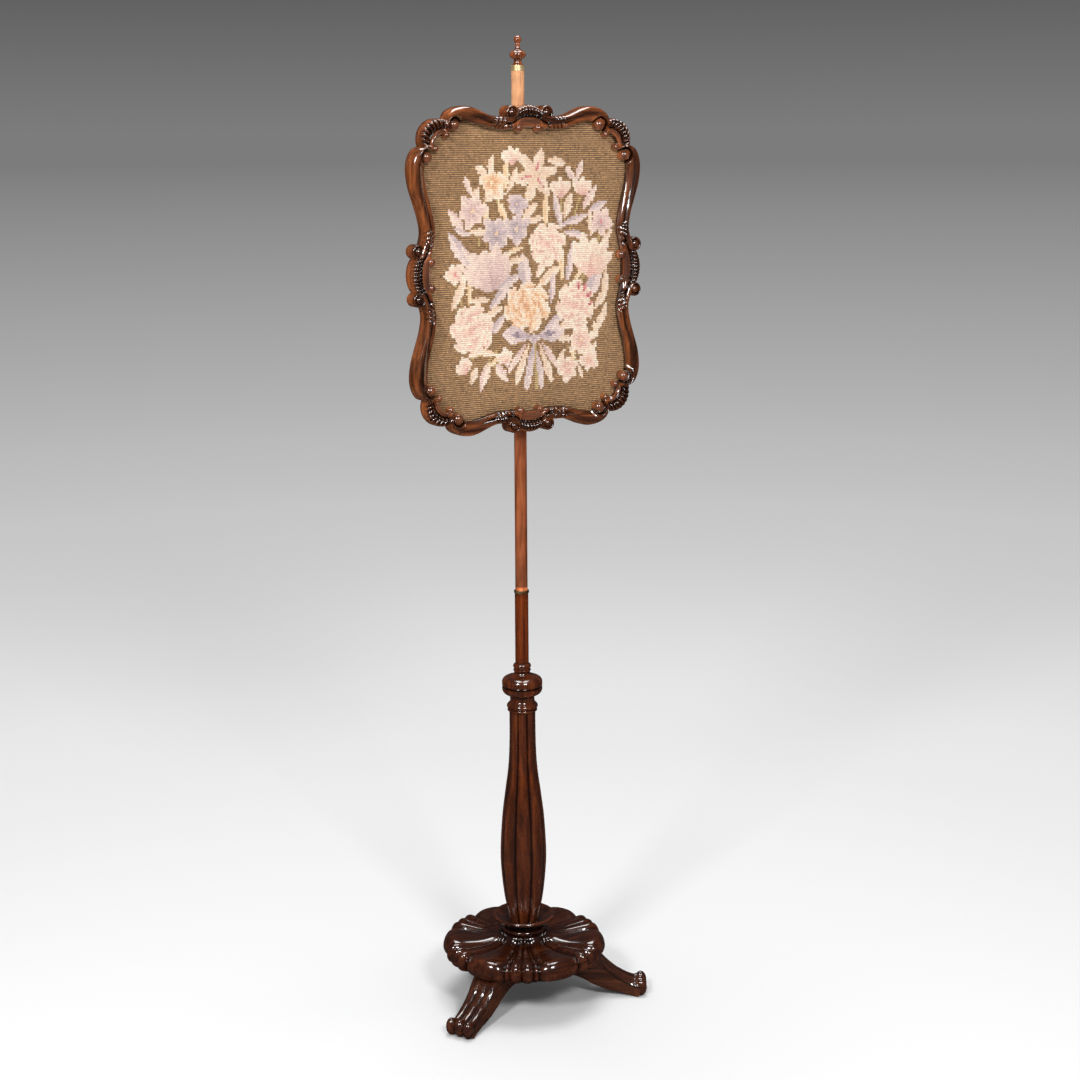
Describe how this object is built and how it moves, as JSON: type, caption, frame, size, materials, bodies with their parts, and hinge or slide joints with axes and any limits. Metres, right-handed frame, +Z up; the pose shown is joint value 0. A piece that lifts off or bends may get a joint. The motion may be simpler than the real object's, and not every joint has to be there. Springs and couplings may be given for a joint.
{
  "type": "pole screen",
  "caption": "Carved and framed needlework screen that slides and turns on a pole, on a reeded column with a petal dish and a scroll-footed tripod base.",
  "frame": {"origin": "on the floor, on the axis of the pole", "axes": "+Z up along the pole, -Y the way the needlework faces, +X to the right of someone who faces the needlework"},
  "size_m": [0.411, 0.3441, 1.57],
  "materials": {
    "mahogany": "french polished",
    "pole_wood": "satin polished",
    "plain_wood": "plain",
    "brass": "aged polish",
    "iron": "plain",
    "wool": "stitched wool"
  },
  "bodies": {
    "stand": {"leg_front_left": "mahogany", "leg_front_right": "mahogany", "leg_back": "mahogany", "leg_screws": "brass", "leg_dowels": "plain_wood", "base_dish": "mahogany", "base_collar": "mahogany", "column": "mahogany", "tenon_wedge": "plain_wood", "knop": "mahogany", "pole_stub": "mahogany", "pole_ferrule": "brass"},
    "pole": {"pole": "pole_wood", "pole_cap": "brass"},
    "finial": {"finial": "mahogany"},
    "screen": {"frame_top_rail": "mahogany", "frame_bottom_rail": "mahogany", "frame_left_stile": "mahogany", "frame_right_stile": "mahogany", "mitre_dowels": "plain_wood", "needlework": "wool", "panel_board": "plain_wood", "back_panel": "pole_wood", "back_brads": "iron", "upper_bracket": "brass", "lower_bracket": "brass", "bracket_screws": "brass"},
    "clamp": {"clamp_screw": "brass"}
  },
  "joints": [
    {"name": "pole_swivel", "type": "hinge", "parent": "stand", "child": "pole", "pos_m": [0, 0, 0.7], "axis": [0, 0, 1], "continuous": true},
    {"name": "finial_lift", "type": "slide", "parent": "pole", "child": "finial", "axis": [0, 0, 1], "range_m": [0, 0.03]},
    {"name": "screen_slide", "type": "slide", "parent": "pole", "child": "screen", "axis": [0, 0, 1], "range_m": [-0.27, 0.05]},
    {"name": "clamp_turn", "type": "hinge", "parent": "screen", "child": "clamp", "pos_m": [0, 0.02, 1.451], "axis": [0, 1, 0], "range_deg": [0, 360]}
  ]
}
